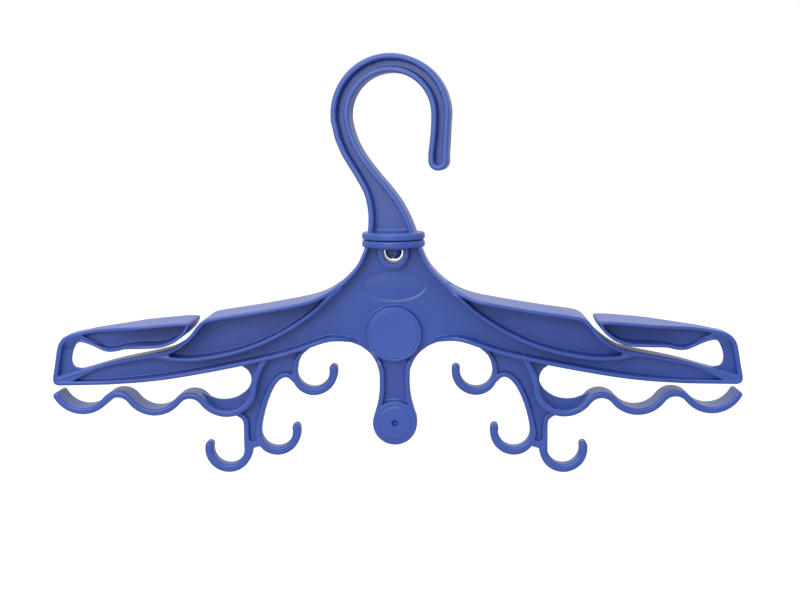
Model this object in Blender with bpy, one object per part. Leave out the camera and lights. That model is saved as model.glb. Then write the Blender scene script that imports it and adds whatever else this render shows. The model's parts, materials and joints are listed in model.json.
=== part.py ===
"""Drying hanger for dive gear: a ribbed frame moulding with two sprung end jaws and a swivel hook.

+Z is up and the front faces -Y. Heights below are from the top face of the frame's flange. An empty
raises the whole hanger, so that the origin is on the swivel axis at the hanger's lowest point.
Lengths are millimetres here and become metres as a mesh is made.
"""
import math

import bmesh
import bpy

MM = 0.001

# Driving dimensions
WEB = 1.5                 # half the thickness of the plate at mid-plane
RIB = 2.4                 # thickness of a rib on the beam
GAP = 0.35                # clearance between pieces
FLANGE_R = 22.6
FLANGE_T = 5.2
FLANGE_ROUND = 1.3
FLANGE_STEPS = 3
BORE_R = 4.7
STEM_R = BORE_R - GAP
LEDGE_Z = -7.0            # underside of the bore, where the barb catches
BARB_R = 5.7
BARB_END_Z = -13.6
SLIT, SLIT_TOP_Z = 1.6, -1.5
WINDOW_R = 7.6
WINDOW_BOTTOM_Z = -16.9
LIP = 3.6
LIP_HALF = 9.5
DISC_Z, DISC_R, DISC_HALF = -67.7, 20.0, 9.0
DISC_CAP = 3.0
PAD_Z, PAD_R, PAD_HALF = -132.7, 16.0, 7.0
PAD_RING_R = 11.8
DIMPLE_R = 2.2
OVAL_Z, OVAL_A, OVAL_B = -33.4, 23.8, 12.0
OVAL_DEEP = 0.5
LEG_HALF = 6.5
RAIL_HALF = 11.5
RAIL_T = 4.2
HOSE_HALF = 5.7
HOSE_T = 4.8
DIAGONAL_T = 2.1
ARM_T = 2.6
POST_T = 3.5
LEG_T = 3.6
TREE_T = 3.8              # ribs that carry the hose hooks
WALL_T = 2.6
CORNER_HALF = 11.7
TUCK = 0.1                # how far a joined shape stops short of its neighbour's face
CLEAR = 30.0              # half the reach of a cutter along Y
HOOK_HALF = 9.0
HOOK_R, HOOK_BAND, HOOK_RIB = 42.5, 12.3, 3.5
HOOK_Z = 88.8
HOOK_TIP, HOOK_TIP_R = (33.6, 56.4), 6.3
HOOK_TURN = math.radians(-7)   # how far the hook is swivelled at rest
HINGE = (230.0, -69.1)    # flex axis of a jaw, at the top of the end post
KNUCKLE_R = 2.9
END_HALF = 7.0            # half the depth at the outer ends

BLUE = (0.057, 0.094, 0.42)

# Half the depth of each group of ribs, against distance from the middle
BEAM = ((0, 11.0), (20, 11.0), (36, 13.3), (130, 13.0), (168, 12.3), (193, 9.6), (215, END_HALF),
        (260, END_HALF))
SHOULDER = ((0, 11.3), (20, 11.3), (36, 13.7), (42, 14.3), (49, 17), (57, 21.2), (67, 23.0), (137, 23.0),
            (146, 21.6), (156, 16.5), (162, 13.4), (175, 12.6))
JAW = ((140, 20.5), (152, 21.5), (184, 21.5), (197, 16.0), (213, 9.4), (228, END_HALF), (260, END_HALF))

# Edges of the right half, each as (distance from the middle, height)
NECK = ((18.6, -3.0), (19.9, -8.0), (23.4, -15.8), (29.2, -22.6), (37.9, -29.9), (48.3, -36.1))
SHOULDER_TOP = NECK + (
    (58, -40.2), (69.2, -43.2), (90, -47.2), (112, -50.9), (127, -53.2), (134.5, -55.4), (139.5, -60.2),
    (145, -67), (152.6, -73.0), (159.5, -76.8), (166, -79.2))
DIAGONAL = (
    (42, -34.5), (48.8, -41.5), (57.5, -49.7), (70.6, -59.1), (85.2, -67.4), (99.8, -73.9),
    (114.4, -78.4), (128.9, -81.6), (143.5, -83.6), (156, -83.7), (168, -82.2))
ARM_TOP = (
    (160, -77.2), (172.7, -80.4), (191.5, -84.0), (206.7, -87.3), (222, -91.6), (235, -95.4),
    (247.4, -99.4))
ARM_BOTTOM = (
    (33.5, -70.6), (42, -70.5), (50, -72.0), (71, -78.8), (90, -84.4), (114.7, -90.5), (136.6, -94.8),
    (158.6, -98.6), (181, -101.4), (200, -103.0), (215, -103.9), (248, -104.4))
POST = (
    (249.2, -104.4), (249.9, -99.5), (248, -89.5), (246.4, -80.5), (244.6, -74.2), (240.6, -69.4),
    (234.2, -66.7), (230.2, -66.2))
TEARDROP = (
    (222, -93.0), (231.5, -92.9), (235.6, -91.2), (237.1, -86.8), (236.0, -80.5), (233.9, -75.7),
    (232.0, -73.6), (230.2, -71.9))
ARCH = (
    (33.5, -70.9), (25.4, -74.6), (18.7, -79.6), (13.6, -86.2), (10.9, -93.0), (10.3, -99.5),
    (11.1, -109.4), (12.8, -117.5), (15.1, -126.5))
JAW_TOP = (
    (229.1, -66.0), (220.6, -64.4), (212.9, -63.4), (196.6, -61.7), (177, -59.6), (155.4, -57.7),
    (147.6, -57.6))
JAW_UNDER = (
    (145.4, -59.4), (149.1, -64.1), (155.8, -69.5), (161.5, -72.5), (166.7, -74.3), (172, -75.1),
    (185.3, -75.8), (194, -76.8), (200.5, -78.5), (206, -79.2), (211.5, -78.3), (221, -74.2),
    (228.9, -72.3))
JAW_POCKET_TOP = ((223.5, -69.0), (213.1, -66.9), (196.7, -64.3), (177.1, -62.1), (150, -60.1))
JAW_POCKET_UNDER = (
    (152.4, -64.4), (157.5, -68.9), (163, -71.5), (170, -72.5), (189.2, -73.8), (197.1, -75.0),
    (203.6, -76.6), (208.5, -76.6), (213.4, -74.6))
TREE_INNER = (
    (101.2, -143.0), (100.9, -138.4), (99.7, -131), (97.9, -123.5), (95.4, -116.1), (92.4, -109.0),
    (88.9, -103.2), (84.6, -99.0), (80.2, -97.2), (76.2, -98.2), (72.6, -102.0))
WALL = ((56, -72.5), (63.5, -78.0), (68.6, -82.6), (71.8, -88.2), (73.4, -95.3))
STEM_OUTER = ((118, -125.4), (113.6, -127.2), (110.2, -130.2), (109.0, -134.8), (109.0, -151.5))
# The solid corner where the diagonal meets the arm, and the solid foot where two hose hooks part
CORNER = ((160.5, -80.8), (178.5, -83.0), (168, -84.6), (158, -84.6))
FOOT = ((111, -145.5), (99.4, -145.5), (99.0, -150.6), (105, -152.4), (109, -153))
GUSSET = (
    (113.6, -88.8), (109.3, -93.4), (106.3, -97.2), (105.0, -102), (106.2, -106.6), (110.4, -111.4),
    (116.5, -115.6), (123.9, -116.9), (130.6, -116.0), (136.2, -112.0))
# The hook's outer and inner edges up to its round crown, and both edges down to its tip
HOOK_OUTER = (
    (-16.6, 4.5), (-15.8, 11), (-15.8, 21), (-18.6, 33), (-25.3, 45.3), (-34.7, 60.5), (-40.6, 75))
HOOK_INNER = (
    (-28.9, 80), (-25.4, 70.6), (-18.8, 59), (-8.4, 45.8), (-0.6, 36.6), (7, 26), (12.6, 15),
    (16.6, 4.5))
HOOK_DROP = ((42.1, 82), (40.9, 70), (39.9, 61))
HOOK_RISE = ((27.3, 61), (28.6, 73), (29.8, 82))
# Each hose hook: centre, mean radius, and the angles where it starts and where its tip is
HOSE_HOOKS = (((59.1, -95.3), 14.8, -5, -199), ((87.1, -139.8), 14.5, 8, -202),
              ((122.6, -152.5), 14.2, -187, 21))
LOWEST = HOSE_HOOKS[2][0][1] - HOSE_HOOKS[2][1] - HOSE_T / 2
# Rail scallops: the outermost trough, the pitch, and the radii of a crest and of a trough
RAIL_TROUGH = (227.6, -122.9)
RAIL_PITCH = 52.7
RAIL_DROP = 1.1           # each trough is this much lower than the one outside it
CREST_R, TROUGH_R = 11.0, 23.3
RAIL_END, RAIL_INNER = -34, -113    # where the outermost and the innermost trough end, in degrees
RAIL_UP_TREE = (
    (107.3, -119.2), (103.6, -113.6), (102.3, -107.3), (100.4, -99.2), (96.4, -90.2), (92.0, -83.5))


def smooth(points, steps=2):
    """A Catmull-Rom curve through the points."""
    ends = [tuple(2 * a - b for a, b in zip(points[0], points[1]))]
    ends += list(points)
    ends.append(tuple(2 * a - b for a, b in zip(points[-1], points[-2])))
    curve = []
    for p0, p1, p2, p3 in zip(ends, ends[1:], ends[2:], ends[3:]):
        for i in range(steps):
            t = i / steps
            curve.append(tuple(
                0.5 * (2 * b + (c - a) * t + (2 * a - 5 * b + 4 * c - d) * t * t
                       + (3 * b - a - 3 * c + d) * t ** 3)
                for a, b, c, d in zip(p0, p1, p2, p3)))
    curve.append(tuple(points[-1]))
    return curve


def arc(centre, radius, start, end, steps):
    """Points on a circle from one angle to another, in degrees."""
    angles = [math.radians(start + (end - start) * i / steps) for i in range(steps + 1)]
    return [(centre[0] + radius * math.cos(a), centre[1] + radius * math.sin(a)) for a in angles]


def normals(path):
    """The unit normal to the left of each point's direction of travel."""
    found = []
    for i in range(len(path)):
        ahead, behind = path[min(i + 1, len(path) - 1)], path[max(i - 1, 0)]
        dx, dz = ahead[0] - behind[0], ahead[1] - behind[1]
        length = math.hypot(dx, dz)
        found.append((-dz / length, dx / length))
    return found


def offset(path, distance):
    """The path moved to its left."""
    return [(x + nx * distance, z + nz * distance) for (x, z), (nx, nz) in zip(path, normals(path))]


def level(table, x):
    """The height of a broken line at x."""
    for (x0, y0), (x1, y1) in zip(table, table[1:]):
        if abs(x) <= x1:
            return y0 + (y1 - y0) * (abs(x) - x0) / (x1 - x0)
    return table[-1][1]


def finished(name, mesh):
    """An object from a closed bmesh, with its faces pointing out."""
    bmesh.ops.recalc_face_normals(mesh, faces=mesh.faces)
    if mesh.calc_volume(signed=True) < 0:
        bmesh.ops.reverse_faces(mesh, faces=mesh.faces)
    data = bpy.data.meshes.new(name)
    mesh.to_mesh(data)
    mesh.free()
    made = bpy.data.objects.new(name, data)
    bpy.context.scene.collection.objects.link(made)
    return made


def skinned(name, rings):
    """A closed object from rings of points that are skinned in order, with its ends filled."""
    mesh = bmesh.new()
    loops = [[mesh.verts.new([c * MM for c in point]) for point in ring] for ring in rings]
    for first, second in zip(loops, loops[1:]):
        for i in range(len(first)):
            j = (i + 1) % len(first)
            mesh.faces.new((first[i], first[j], second[j], second[i]))
    mesh.faces.new(loops[0])
    mesh.faces.new(loops[-1])
    return finished(name, mesh)


def prism(name, outline, front, back):
    """A closed outline in XZ, extruded along Y."""
    return skinned(name, [[(x, front, z) for x, z in outline], [(x, back, z) for x, z in outline]])


def rib(name, path, right, left, half, side=1):
    """A strip along a path, from `right` to `left` of it, and `half` deep each way along Y."""
    rings = []
    for (x, z), (nx, nz) in zip(path, normals(path)):
        deep = half(x) if callable(half) else half
        edges = [(side * (x + nx * d), z + nz * d) for d in (right, left)]
        rings.append([(edges[0][0], -deep, edges[0][1]), (edges[0][0], deep, edges[0][1]),
                      (edges[1][0], deep, edges[1][1]), (edges[1][0], -deep, edges[1][1])])
    return skinned(name, rings)


def circle(radius, steps):
    """Points round a full circle about the origin."""
    turns = [2 * math.pi * i / steps for i in range(steps)]
    return [(radius * math.cos(a), radius * math.sin(a)) for a in turns]


def turned(name, profile, steps=40):
    """A profile of (radius, z), turned about Z, with flat ends."""
    return skinned(name, [[(x, y, z) for x, y in circle(r, steps)] for r, z in profile])


def facing(name, profile, height, steps=40):
    """A profile of (radius, y), turned about an axis along Y at a height, with flat ends."""
    return skinned(name, [[(x, y, height + z) for x, z in circle(r, steps)] for r, y in profile])


def combine(target, helper, operation):
    """Adds a Boolean, and keeps its operand as a hidden helper that moves with the target."""
    helper.parent = target
    helper.hide_render = True
    helper.display_type = "WIRE"
    modifier = target.modifiers.new(helper.name, "BOOLEAN")
    modifier.operation = operation
    modifier.object = helper
    modifier.solver = "EXACT"


def plastic(name, colour, roughness):
    material = bpy.data.materials.new(name)
    material.use_nodes = True
    shader = material.node_tree.nodes["Principled BSDF"]
    shader.inputs["Base Color"].default_value = (*colour, 1)
    shader.inputs["Roughness"].default_value = roughness
    shader.inputs["Metallic"].default_value = 0
    return material


def mirrored(half):
    """A closed outline from its right half, which starts and ends on the middle line."""
    return list(half) + [(-x, z) for x, z in reversed(half) if abs(x) > 1e-6]


def flange_profile(low, high):
    """The rim of a flat disc with rounded edges, from its lower side to its upper side."""
    r = FLANGE_R - FLANGE_ROUND
    lower = arc((r, low + FLANGE_ROUND), FLANGE_ROUND, -90, 0, FLANGE_STEPS)
    upper = arc((r, high - FLANGE_ROUND), FLANGE_ROUND, 0, 90, FLANGE_STEPS)
    return lower + upper


def bearing(origin, target):
    """The direction from one point to another, in degrees."""
    return math.degrees(math.atan2(target[1] - origin[1], target[0] - origin[0]))


def rail_path():
    """The scalloped rail from its free end inwards, and on up the tree to the arm."""
    x, z = RAIL_TROUGH
    troughs = [(x - RAIL_PITCH * i, z - RAIL_DROP * i + TROUGH_R) for i in range(3)]
    path = []
    start = RAIL_END
    for centre, after in zip(troughs, troughs[1:]):
        half = math.dist(centre, after) / 2
        away = math.sqrt((TROUGH_R + CREST_R) ** 2 - half ** 2)
        down = math.radians(bearing(centre, after) + 90)
        crest = ((centre[0] + after[0]) / 2 + away * math.cos(down),
                 (centre[1] + after[1]) / 2 + away * math.sin(down))
        path += arc(centre, TROUGH_R, start, bearing(centre, crest), 10)
        path += arc(crest, CREST_R, bearing(crest, centre), bearing(crest, after), 7)[1:-1]
        start = bearing(after, crest)
    path += arc(troughs[-1], TROUGH_R, start, RAIL_INNER, 7)
    return path + smooth(RAIL_UP_TREE)


def frame_web():
    """The outline of the mid-plane plate; under a rib it stops inside the rib."""
    top = offset(smooth(SHOULDER_TOP), -RIB / 2)
    arm = [p for p in offset(smooth(ARM_TOP), -RIB / 2) if 168 < p[0] < 221]
    post = [p for p in reversed(offset(smooth(POST), 1.6)) if p[1] > -103]
    bottom = [p for p in reversed(offset(smooth(ARM_BOTTOM), RIB / 2)) if 34.5 < p[0] < 247]
    pad = arc((0, PAD_Z), PAD_R - 1, 15, -90, 9)
    return mirrored([(0, -3)] + top[:-2] + arm + smooth(TEARDROP) + post + bottom + smooth(ARCH)[1:] + pad)


def tree_web(rail):
    """The plate between the ribs of a hook tree."""
    outer = [p for p in rail if p[0] < 107.5]
    stem = [p for p in smooth(STEM_OUTER) if p[1] < -128]
    inner = smooth(TREE_INNER)
    wall = list(reversed(smooth(WALL)))
    return list(reversed(outer)) + stem + inner + wall


def gusset_web(rail):
    """The small plate in the corner where the rail turns up to the arm."""
    return smooth(GUSSET) + [p for p in rail if p[0] < 137]


def window(radius, top):
    """The outline of the U-shaped window under the flange."""
    return [(radius, top)] + arc((0, WINDOW_BOTTOM_Z + WINDOW_R), radius, 0, -180, 16) + [(-radius, top)]


def side_ribs(side):
    """The ribs, plates and hooks of one half of the frame."""
    rail = rail_path()
    leg = [p for p in smooth(ARCH) if -124 < p[1] < -85]
    strips = [
        ("shoulder", smooth(SHOULDER_TOP), -RIB, 0, lambda x: level(SHOULDER, x)),
        ("diagonal", smooth(DIAGONAL), -DIAGONAL_T, 0, lambda x: level(BEAM, x) - 3 * TUCK),
        ("arm_top", smooth(ARM_TOP), -ARM_T, 0, lambda x: level(BEAM, x) - 2 * TUCK),
        ("arm_bottom", smooth(ARM_BOTTOM), 0, ARM_T, lambda x: level(BEAM, x)),
        ("post", smooth(POST), 0, POST_T, END_HALF + 2 * TUCK),
        ("leg", leg, 2 * TUCK - LEG_T, 2 * TUCK, LEG_HALF),
        ("rail", rail, -RAIL_T / 2, RAIL_T / 2, RAIL_HALF),
        ("stem", smooth(STEM_OUTER), -TREE_T / 2, TREE_T / 2, HOSE_HALF - 2 * TUCK),
        ("inner", smooth(TREE_INNER), -TREE_T / 2, TREE_T / 2, HOSE_HALF - TUCK),
        ("wall", smooth(WALL), -WALL_T / 2, WALL_T / 2, HOSE_HALF - 3 * TUCK),
    ]
    helpers = [rib(f"{name}_{side}", *strip, side) for name, *strip in strips]
    for i, (centre, radius, start, end) in enumerate(HOSE_HOOKS):
        path = arc(centre, radius, start, end, 15)
        helpers.append(rib(f"hose_{i}_{side}", path, -HOSE_T / 2, HOSE_T / 2, HOSE_HALF, side))
        tip = [(side * x, z) for x, z in arc(path[-1], HOSE_T / 2 - 0.02, 0, 345, 11)]
        helpers.append(prism(f"tip_{i}_{side}", tip, TUCK - HOSE_HALF, HOSE_HALF - TUCK))
    plates = [("tree", tree_web(rail), WEB + TUCK), ("gusset", gusset_web(rail), WEB - TUCK),
              ("corner", CORNER, CORNER_HALF), ("foot", FOOT, HOSE_HALF - 4 * TUCK)]
    for name, outline, half in plates:
        helpers.append(prism(f"{name}_{side}", [(side * x, z) for x, z in outline], -half, half))
    knuckle = [(side * x, z) for x, z in arc(HINGE, KNUCKLE_R, 0, 337.5, 15)]
    helpers.append(prism(f"knuckle_{side}", knuckle, -END_HALF, END_HALF))
    return helpers


def hanger_frame(material):
    frame = prism("hanger_frame", frame_web(), -WEB, WEB)
    helpers = side_ribs(1) + side_ribs(-1)
    helpers.append(turned("flange", flange_profile(-FLANGE_T, 0)))
    helpers.append(prism("lip", window(WINDOW_R + LIP, -3.5), -LIP_HALF, LIP_HALF))
    disc = [(DISC_R - 1, -DISC_HALF), (DISC_R, 1 - DISC_HALF), (DISC_R, DISC_HALF)]
    helpers.append(facing("disc", disc, DISC_Z))
    pad = [(PAD_RING_R, -PAD_HALF - 0.6), (PAD_RING_R + 0.6, -PAD_HALF), (PAD_R - 0.8, -PAD_HALF),
           (PAD_R, 0.8 - PAD_HALF), (PAD_R, PAD_HALF - 0.8), (PAD_R - 0.8, PAD_HALF)]
    helpers.append(facing("pad", pad, PAD_Z))
    for helper in helpers:
        combine(frame, helper, "UNION")
    core = DISC_R - DISC_CAP
    oval = [(x, OVAL_Z + z * OVAL_B / OVAL_A) for x, z in circle(OVAL_A, 40)]
    cuts = [
        prism("window_cut", window(WINDOW_R, LEDGE_Z), -CLEAR, CLEAR),
        turned("bore_cut", [(BORE_R, LEDGE_Z - 1), (BORE_R, 1)], 28),
        facing("disc_core", [(core, DISC_CAP - DISC_HALF), (core, 12)], DISC_Z),
        facing("dimple", [(0.8, -5.8), (1.6, -6.4), (DIMPLE_R, -7.4), (DIMPLE_R, -9)], PAD_Z, 16),
        prism("oval", oval, -CLEAR, OVAL_DEEP - WEB),
    ]
    for helper in cuts:
        combine(frame, helper, "DIFFERENCE")
    frame.data.materials.append(material)
    return frame


def clip_jaw(name, side, material):
    """One end jaw, whose object sits on its flex axis."""
    collar = arc(HINGE, KNUCKLE_R + GAP, 250, 114, 9)
    tip = [(146.0, -58.2)]
    outline = smooth(JAW_TOP) + tip + smooth(JAW_UNDER)[:-1] + collar
    pocket = smooth(JAW_POCKET_TOP) + smooth(JAW_POCKET_UNDER)

    def place(points):
        return [(side * (x - HINGE[0]), z - HINGE[1]) for x, z in points]

    jaw = prism(name, place(outline), -CLEAR, CLEAR)
    plan = [(x, y) for x, y in JAW] + [(x, -y) for x, y in reversed(JAW)]
    rings = [[(side * (x - HINGE[0]), y, z) for x, y in plan] for z in (-CLEAR, CLEAR)]
    envelope = skinned(f"envelope_{side}", rings)
    helpers = [(envelope, "INTERSECT")]
    for face in (-1, 1):
        cutter = prism(f"pocket_{side}_{face}", place(pocket), face * WEB, face * CLEAR * 1.1)
        helpers.append((cutter, "DIFFERENCE"))
    for helper, operation in helpers:
        combine(jaw, helper, operation)
    jaw.location = (side * HINGE[0] * MM, 0, HINGE[1] * MM)
    jaw.data.materials.append(material)
    return jaw


def swivel_hook(material):
    """The hook, its flange and its split snap stem, turned as one on the swivel axis."""
    crown = (0, HOOK_Z)
    outside = smooth(HOOK_OUTER)[:-1] + arc(crown, HOOK_R, 187, 0, 26) + smooth(HOOK_DROP)
    outside += arc(HOOK_TIP, HOOK_TIP_R, 5, -85, 5)
    inside = arc(HOOK_TIP, HOOK_TIP_R, -95, -185, 5) + smooth(HOOK_RISE)
    inside += arc(crown, HOOK_R - HOOK_BAND, 0, 190, 22) + smooth(HOOK_INNER)
    hook = prism("swivel_hook", outside + inside, -HOOK_HALF, HOOK_HALF)
    pocket = [p for p in offset(outside + inside, -HOOK_RIB) if p[1] > GAP + FLANGE_T]
    helpers = []
    for face in (-1, 1):
        helpers.append((prism(f"hook_pocket_{face}", pocket, face * WEB, face * CLEAR), "DIFFERENCE"))
    low, high = GAP, GAP + FLANGE_T
    helpers.append((turned("hook_flange", flange_profile(low, high)), "UNION"))
    stem = [(2.6, BARB_END_Z), (4.6, BARB_END_Z + 1.2), (BARB_R, BARB_END_Z + 4),
            (BARB_R, LEDGE_Z - GAP), (STEM_R, LEDGE_Z - GAP), (STEM_R, high - 1)]
    helpers.append((turned("stem_round", stem, 28), "UNION"))
    bottom = BARB_END_Z - 1
    slot = [(-SLIT / 2, bottom), (SLIT / 2, bottom), (SLIT / 2, SLIT_TOP_Z), (-SLIT / 2, SLIT_TOP_Z)]
    helpers.append((prism("stem_slit", slot, -CLEAR, CLEAR), "DIFFERENCE"))
    for helper, operation in helpers:
        combine(hook, helper, operation)
    hook.rotation_euler.z = HOOK_TURN
    hook.data.materials.append(material)
    return hook


for startup_object in list(bpy.data.objects):
    bpy.data.objects.remove(startup_object, do_unlink=True)

hanger = bpy.data.objects.new("hanger", None)
bpy.context.scene.collection.objects.link(hanger)
hanger.location.z = -LOWEST * MM
frame_blue = plastic("frame_blue", BLUE, 0.38)
for sub_part in (
    hanger_frame(frame_blue),
    clip_jaw("clip_jaw_right", 1, frame_blue),
    clip_jaw("clip_jaw_left", -1, frame_blue),
    swivel_hook(plastic("hook_blue", BLUE, 0.36)),
):
    sub_part.parent = hanger
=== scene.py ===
"""Looks of the drying hanger: the two mouldings at full fineness, in blue plastic, in soft white light."""
import json
import math

import bmesh
import bpy
from mathutils import Matrix, Vector


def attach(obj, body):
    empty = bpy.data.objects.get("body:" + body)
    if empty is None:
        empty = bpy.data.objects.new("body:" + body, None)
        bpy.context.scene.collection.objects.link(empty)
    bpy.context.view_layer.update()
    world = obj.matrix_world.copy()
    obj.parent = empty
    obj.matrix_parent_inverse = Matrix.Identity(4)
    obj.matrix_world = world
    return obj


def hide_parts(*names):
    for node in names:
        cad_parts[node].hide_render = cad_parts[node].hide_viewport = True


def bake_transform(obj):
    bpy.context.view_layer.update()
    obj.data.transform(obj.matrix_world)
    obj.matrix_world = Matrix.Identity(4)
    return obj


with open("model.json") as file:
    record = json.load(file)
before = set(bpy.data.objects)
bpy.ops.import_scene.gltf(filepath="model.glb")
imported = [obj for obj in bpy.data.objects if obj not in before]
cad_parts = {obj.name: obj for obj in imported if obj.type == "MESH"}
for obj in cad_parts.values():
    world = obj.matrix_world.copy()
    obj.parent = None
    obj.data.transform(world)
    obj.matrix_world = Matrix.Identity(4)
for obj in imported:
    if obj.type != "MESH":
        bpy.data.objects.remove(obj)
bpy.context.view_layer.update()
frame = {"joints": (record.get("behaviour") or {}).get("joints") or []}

JOINTS = {joint["name"]: joint for joint in frame["joints"]}
SWIVEL = Vector(JOINTS["hook_swivel"]["pos_m"])

# Lengths are millimetres, and heights are from the top face of the frame's flange, where the hook turns
MM = 0.001
WEB, WEB_EDGE = 1.5, 0.35  # half the thickness of the plate at mid-plane, and the radius of its edges
RIB = 2.8
GAP = 0.35                 # clearance between the flanges
PIN = 0.5                  # radius of the flat middle of a turned face
FLANGE_R, FLANGE_T, FLANGE_ROUND = 22.6, 5.2, 1.6
BORE_R, LEDGE_Z = 4.7, -7.0
STEM_R, BARB_R, BARB_END_Z, BARB_BEVEL = 4.35, 5.9, -13.8, 0.4
BARB_NOSE = ((2.2, 0), (2.9, 0.2), (4.5, 1.2), (5.3, 2.6), (BARB_R, 4))    # (radius, height above the end)
SLIT, SLIT_TOP_Z = 1.3, -1.5
WINDOW_R, WINDOW_BOTTOM_Z = 7.0, -16.1
LIP, LIP_HALF, LIP_EDGE, LIP_TOP_Z, LIP_BEND_Z = 4.3, 9.5, 1.0, -2.0, -5.5
LEDGE_SUNK = 0.4           # how far the ledge that the barb catches lies behind the lip's face
DISC_Z, DISC_R, DISC_HALF, DISC_CAP, DISC_ROUND, DISC_FOOT = -67.9, 20.0, 9.0, 3.0, 1.4, 1.44
DISC_RINGS, DISC_DISH = (PIN, 4, 8, 11, 13.5, 15.5), 0.45    # rings of the disc's dished face, and its depth
DISC_STEP = ((0.2, -0.05), (0.45, 0.15), (0.6, 0.4), (0.9, 0.5), (1.2, 0.38))    # inside its rim: (out, back)
DISC_BEVELS = (0.5, 0.4, 0.8)    # of the wall's outer and inner edge behind, and of the hollow's corner
PAD_Z, PAD_R, PAD_HALF, PAD_RING_R, PAD_RISE, PAD_ROUND = -133.3, 16.1, 7.0, 11.7, 0.8, 1.1
DIMPLE_R, DIMPLE_SUNK = 2.2, 0.2
OVAL_Z, OVAL_A, OVAL_B, OVAL_DEEP, OVAL_EDGE = -33.4, 23.8, 12.0, 0.35, 1.8
# The oval's floor and edge, as (distance in from its outline, part of its full depth)
OVAL_RINGS = ((11.5, 0.2), (8, 0.4), (5, 0.7), (3, 0.9), (OVAL_EDGE, 1.0), (OVAL_EDGE * 0.8, 0.9),
              (OVAL_EDGE * 0.2, 0.1))
LEG_HALF, LEG_T, LEG_FOOT_TURN, LEG_COVE, LEG_PROUD = 6.95, 3.6, 38, 1.6, 0.3
RAIL_HALF, RAIL_T = 11.5, 4.8
HOSE_HALF, HOSE_T, HOSE_STEPS = 5.7, 5.9, 36
EMERGE_DEEP = 0.5          # how much shallower a hose hook is where it grows out of a rib
DIAGONAL_T, ARM_T, POST_T, TREE_T, WALL_T = 3.0, 3.0, 3.5, 3.8, 3.0
LEG_FADE = (-91.0, -82.0)  # heights between which a leg's ribs fade out
# Where the diagonal's depth falls, and half its depth before that
DIAGONAL_FADE, DIAGONAL_JOIN = (47.0, 62.0), 15.6
JAW_TOP_T, JAW_UNDER_T, JAW_ROOT_EDGE = 2.6, 2.1, 0.6
JAW_LAP = 0.8              # how far a jaw's plate reaches into the ribs round it
ROOT_FADE = (-71.5, -79.0)  # heights between which a jaw's root runs down to the plate
HOOK_HALF, HOOK_R, HOOK_BAND, HOOK_RIB, HOOK_CROWN = 9.0, 42.7, 13.3, 4.0, (-0.5, 88.8)
HOOK_COVE, HOOK_COVE_HALF = 2.6, 14.5
HOOK_TIP, HOOK_TIP_R = (33.5, 56.1), 6.9
HOOK_TURN = math.radians(-7)
END_HALF = 7.0
SEAM_Z = -80.5             # where an end's mesh takes over from the frame's, across the end post
TUCK = 0.1                 # how far a joined shape stops short of its neighbour's face
CLEAR = 60.0               # reach of a cutter
NEAR = 0.02                # how much smaller a round end is than the rib that it closes
EDGE, FILLET = 1.05, 1.2   # radii of a rib's edges and of its foot
RAIL_EDGE, HOSE_EDGE, HOOK_EDGE = 1.6, 1.8, 1.5
ROUND_LIMIT = 0.96         # the largest radius of an edge, as a part of half a rib's thickness
FINE = 5                   # steps of a curve between two of its points
ROUND_STEPS = 4            # steps round a quarter of an edge
CREASE = math.radians(32)  # sharper edges than this stay sharp

# Spans where a rib edges a plate or leads into a hose hook, by distance from the middle or by height
ARM_TOP_EDGE, ARM_BOTTOM_EDGE, POST_EDGE = (168, 221), (34.5, 246.5), (-103, 0)
TREE_EDGE, STEM_EDGE, GUSSET_EDGE = (0, 107.5), (-160, -128), (0, 145)
LEG_RIB, WALL_LEAD, INNER_LEAD = (-140, -78), (-91.5, -80), (-135.5, -122)
# The space above the seam that an end's mesh fills, how far below the seam the shapes of its corner start,
# and the space below the seam that takes them off there
END_X, END_TOP_Z, END_LAP, POST_LAP = (224.0, 260.0), -40, 6, 8
JAW_X, JAW_BELOW_Z = (200.0, 260.0), -130

# Half the depth of each group of ribs, against distance from the middle
BEAM = ((0, 11.0), (20, 11.0), (36, 13.3), (130, 13.0), (168, 12.3), (193, 9.6), (215, END_HALF),
        (260, END_HALF))
ARM_RISE = ((0, 1.8), (28.6, 1.8), (31, 3.6), (35, 7.5), (42, 11.5), (52, 13.2))
SHOULDER = ((0, 11.3), (20, 11.3), (36, 13.7), (42, 14.3), (49, 17), (57, 21.2), (67, 23.0), (137, 23.0),
            (146, 21.6), (156, 16.5), (162, 13.4), (175, 12.6))
JAW = ((140, 20.5), (152, 21.5), (184, 21.5), (197, 16.0), (213, 9.4), (228, END_HALF), (260, END_HALF))

# Edges of the right half, each as (distance from the middle, height)
NECK = ((19.4, -3.0), (21.3, -8.0), (24.9, -15.8), (30.0, -22.6), (37.8, -30.1), (48.0, -36.6))
SHOULDER_TOP = NECK + (
    (57.8, -40.7), (69.2, -43.4), (90, -47.2), (112, -50.7), (127, -52.9), (134.9, -55.0),
    (140.2, -59.8), (145.6, -66.5), (152.9, -72.6), (159.6, -76.6), (166, -79.2))
DIAGONAL = (
    (38.0, -31.0), (43.0, -35.4), (48.4, -40.1), (57.7, -49.2), (70.8, -58.7), (85.3, -67.1), (99.8, -73.7),
    (114.4, -78.4), (128.9, -81.6), (143.5, -83.6), (156, -83.7), (168, -82.2))
ARM_TOP = (
    (160, -77.2), (172.7, -80.4), (191.5, -84.0), (206.7, -87.3), (222, -91.6), (235, -95.4),
    (247.4, -99.4))
ARM_BOTTOM = (
    (28.0, -75.4), (33.5, -73.6), (42, -72.4), (50, -73.3), (60, -76.6), (71, -80.4), (90, -85.6),
    (114.7, -90.8), (136.6, -95.0), (158.6, -98.8), (181, -101.8), (200, -103.5), (215, -104.5),
    (246, -105.0))
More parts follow.
